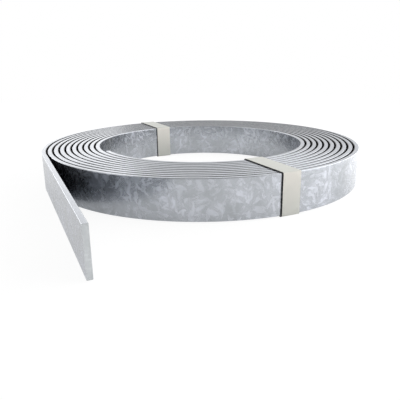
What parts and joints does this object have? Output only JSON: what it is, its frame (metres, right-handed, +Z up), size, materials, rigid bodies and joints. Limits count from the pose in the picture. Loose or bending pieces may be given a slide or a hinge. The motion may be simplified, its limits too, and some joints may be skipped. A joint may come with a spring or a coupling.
{
  "type": "steel strip coil",
  "caption": "Coil of galvanised flat steel strip, loosely wound on edge, lying flat, with its outer end free and two packing straps round the turns.",
  "frame": {"origin": "on the coil's axis, at floor level", "axes": "+Z up along the coil's axis; the free end leaves the coil at -X and points towards -Y"},
  "size_m": [0.2785, 0.3618, 0.0316],
  "materials": {
    "zinc_coated_steel": "hot-dip galvanised, pale blue-grey zinc with soft spangle patches",
    "packing_strap": "satin cream plastic strapping"
  },
  "bodies": {
    "root": {"steel_strip": "zinc_coated_steel", "strap_front": "packing_strap", "strap_back": "packing_strap"}
  },
  "joints": []
}
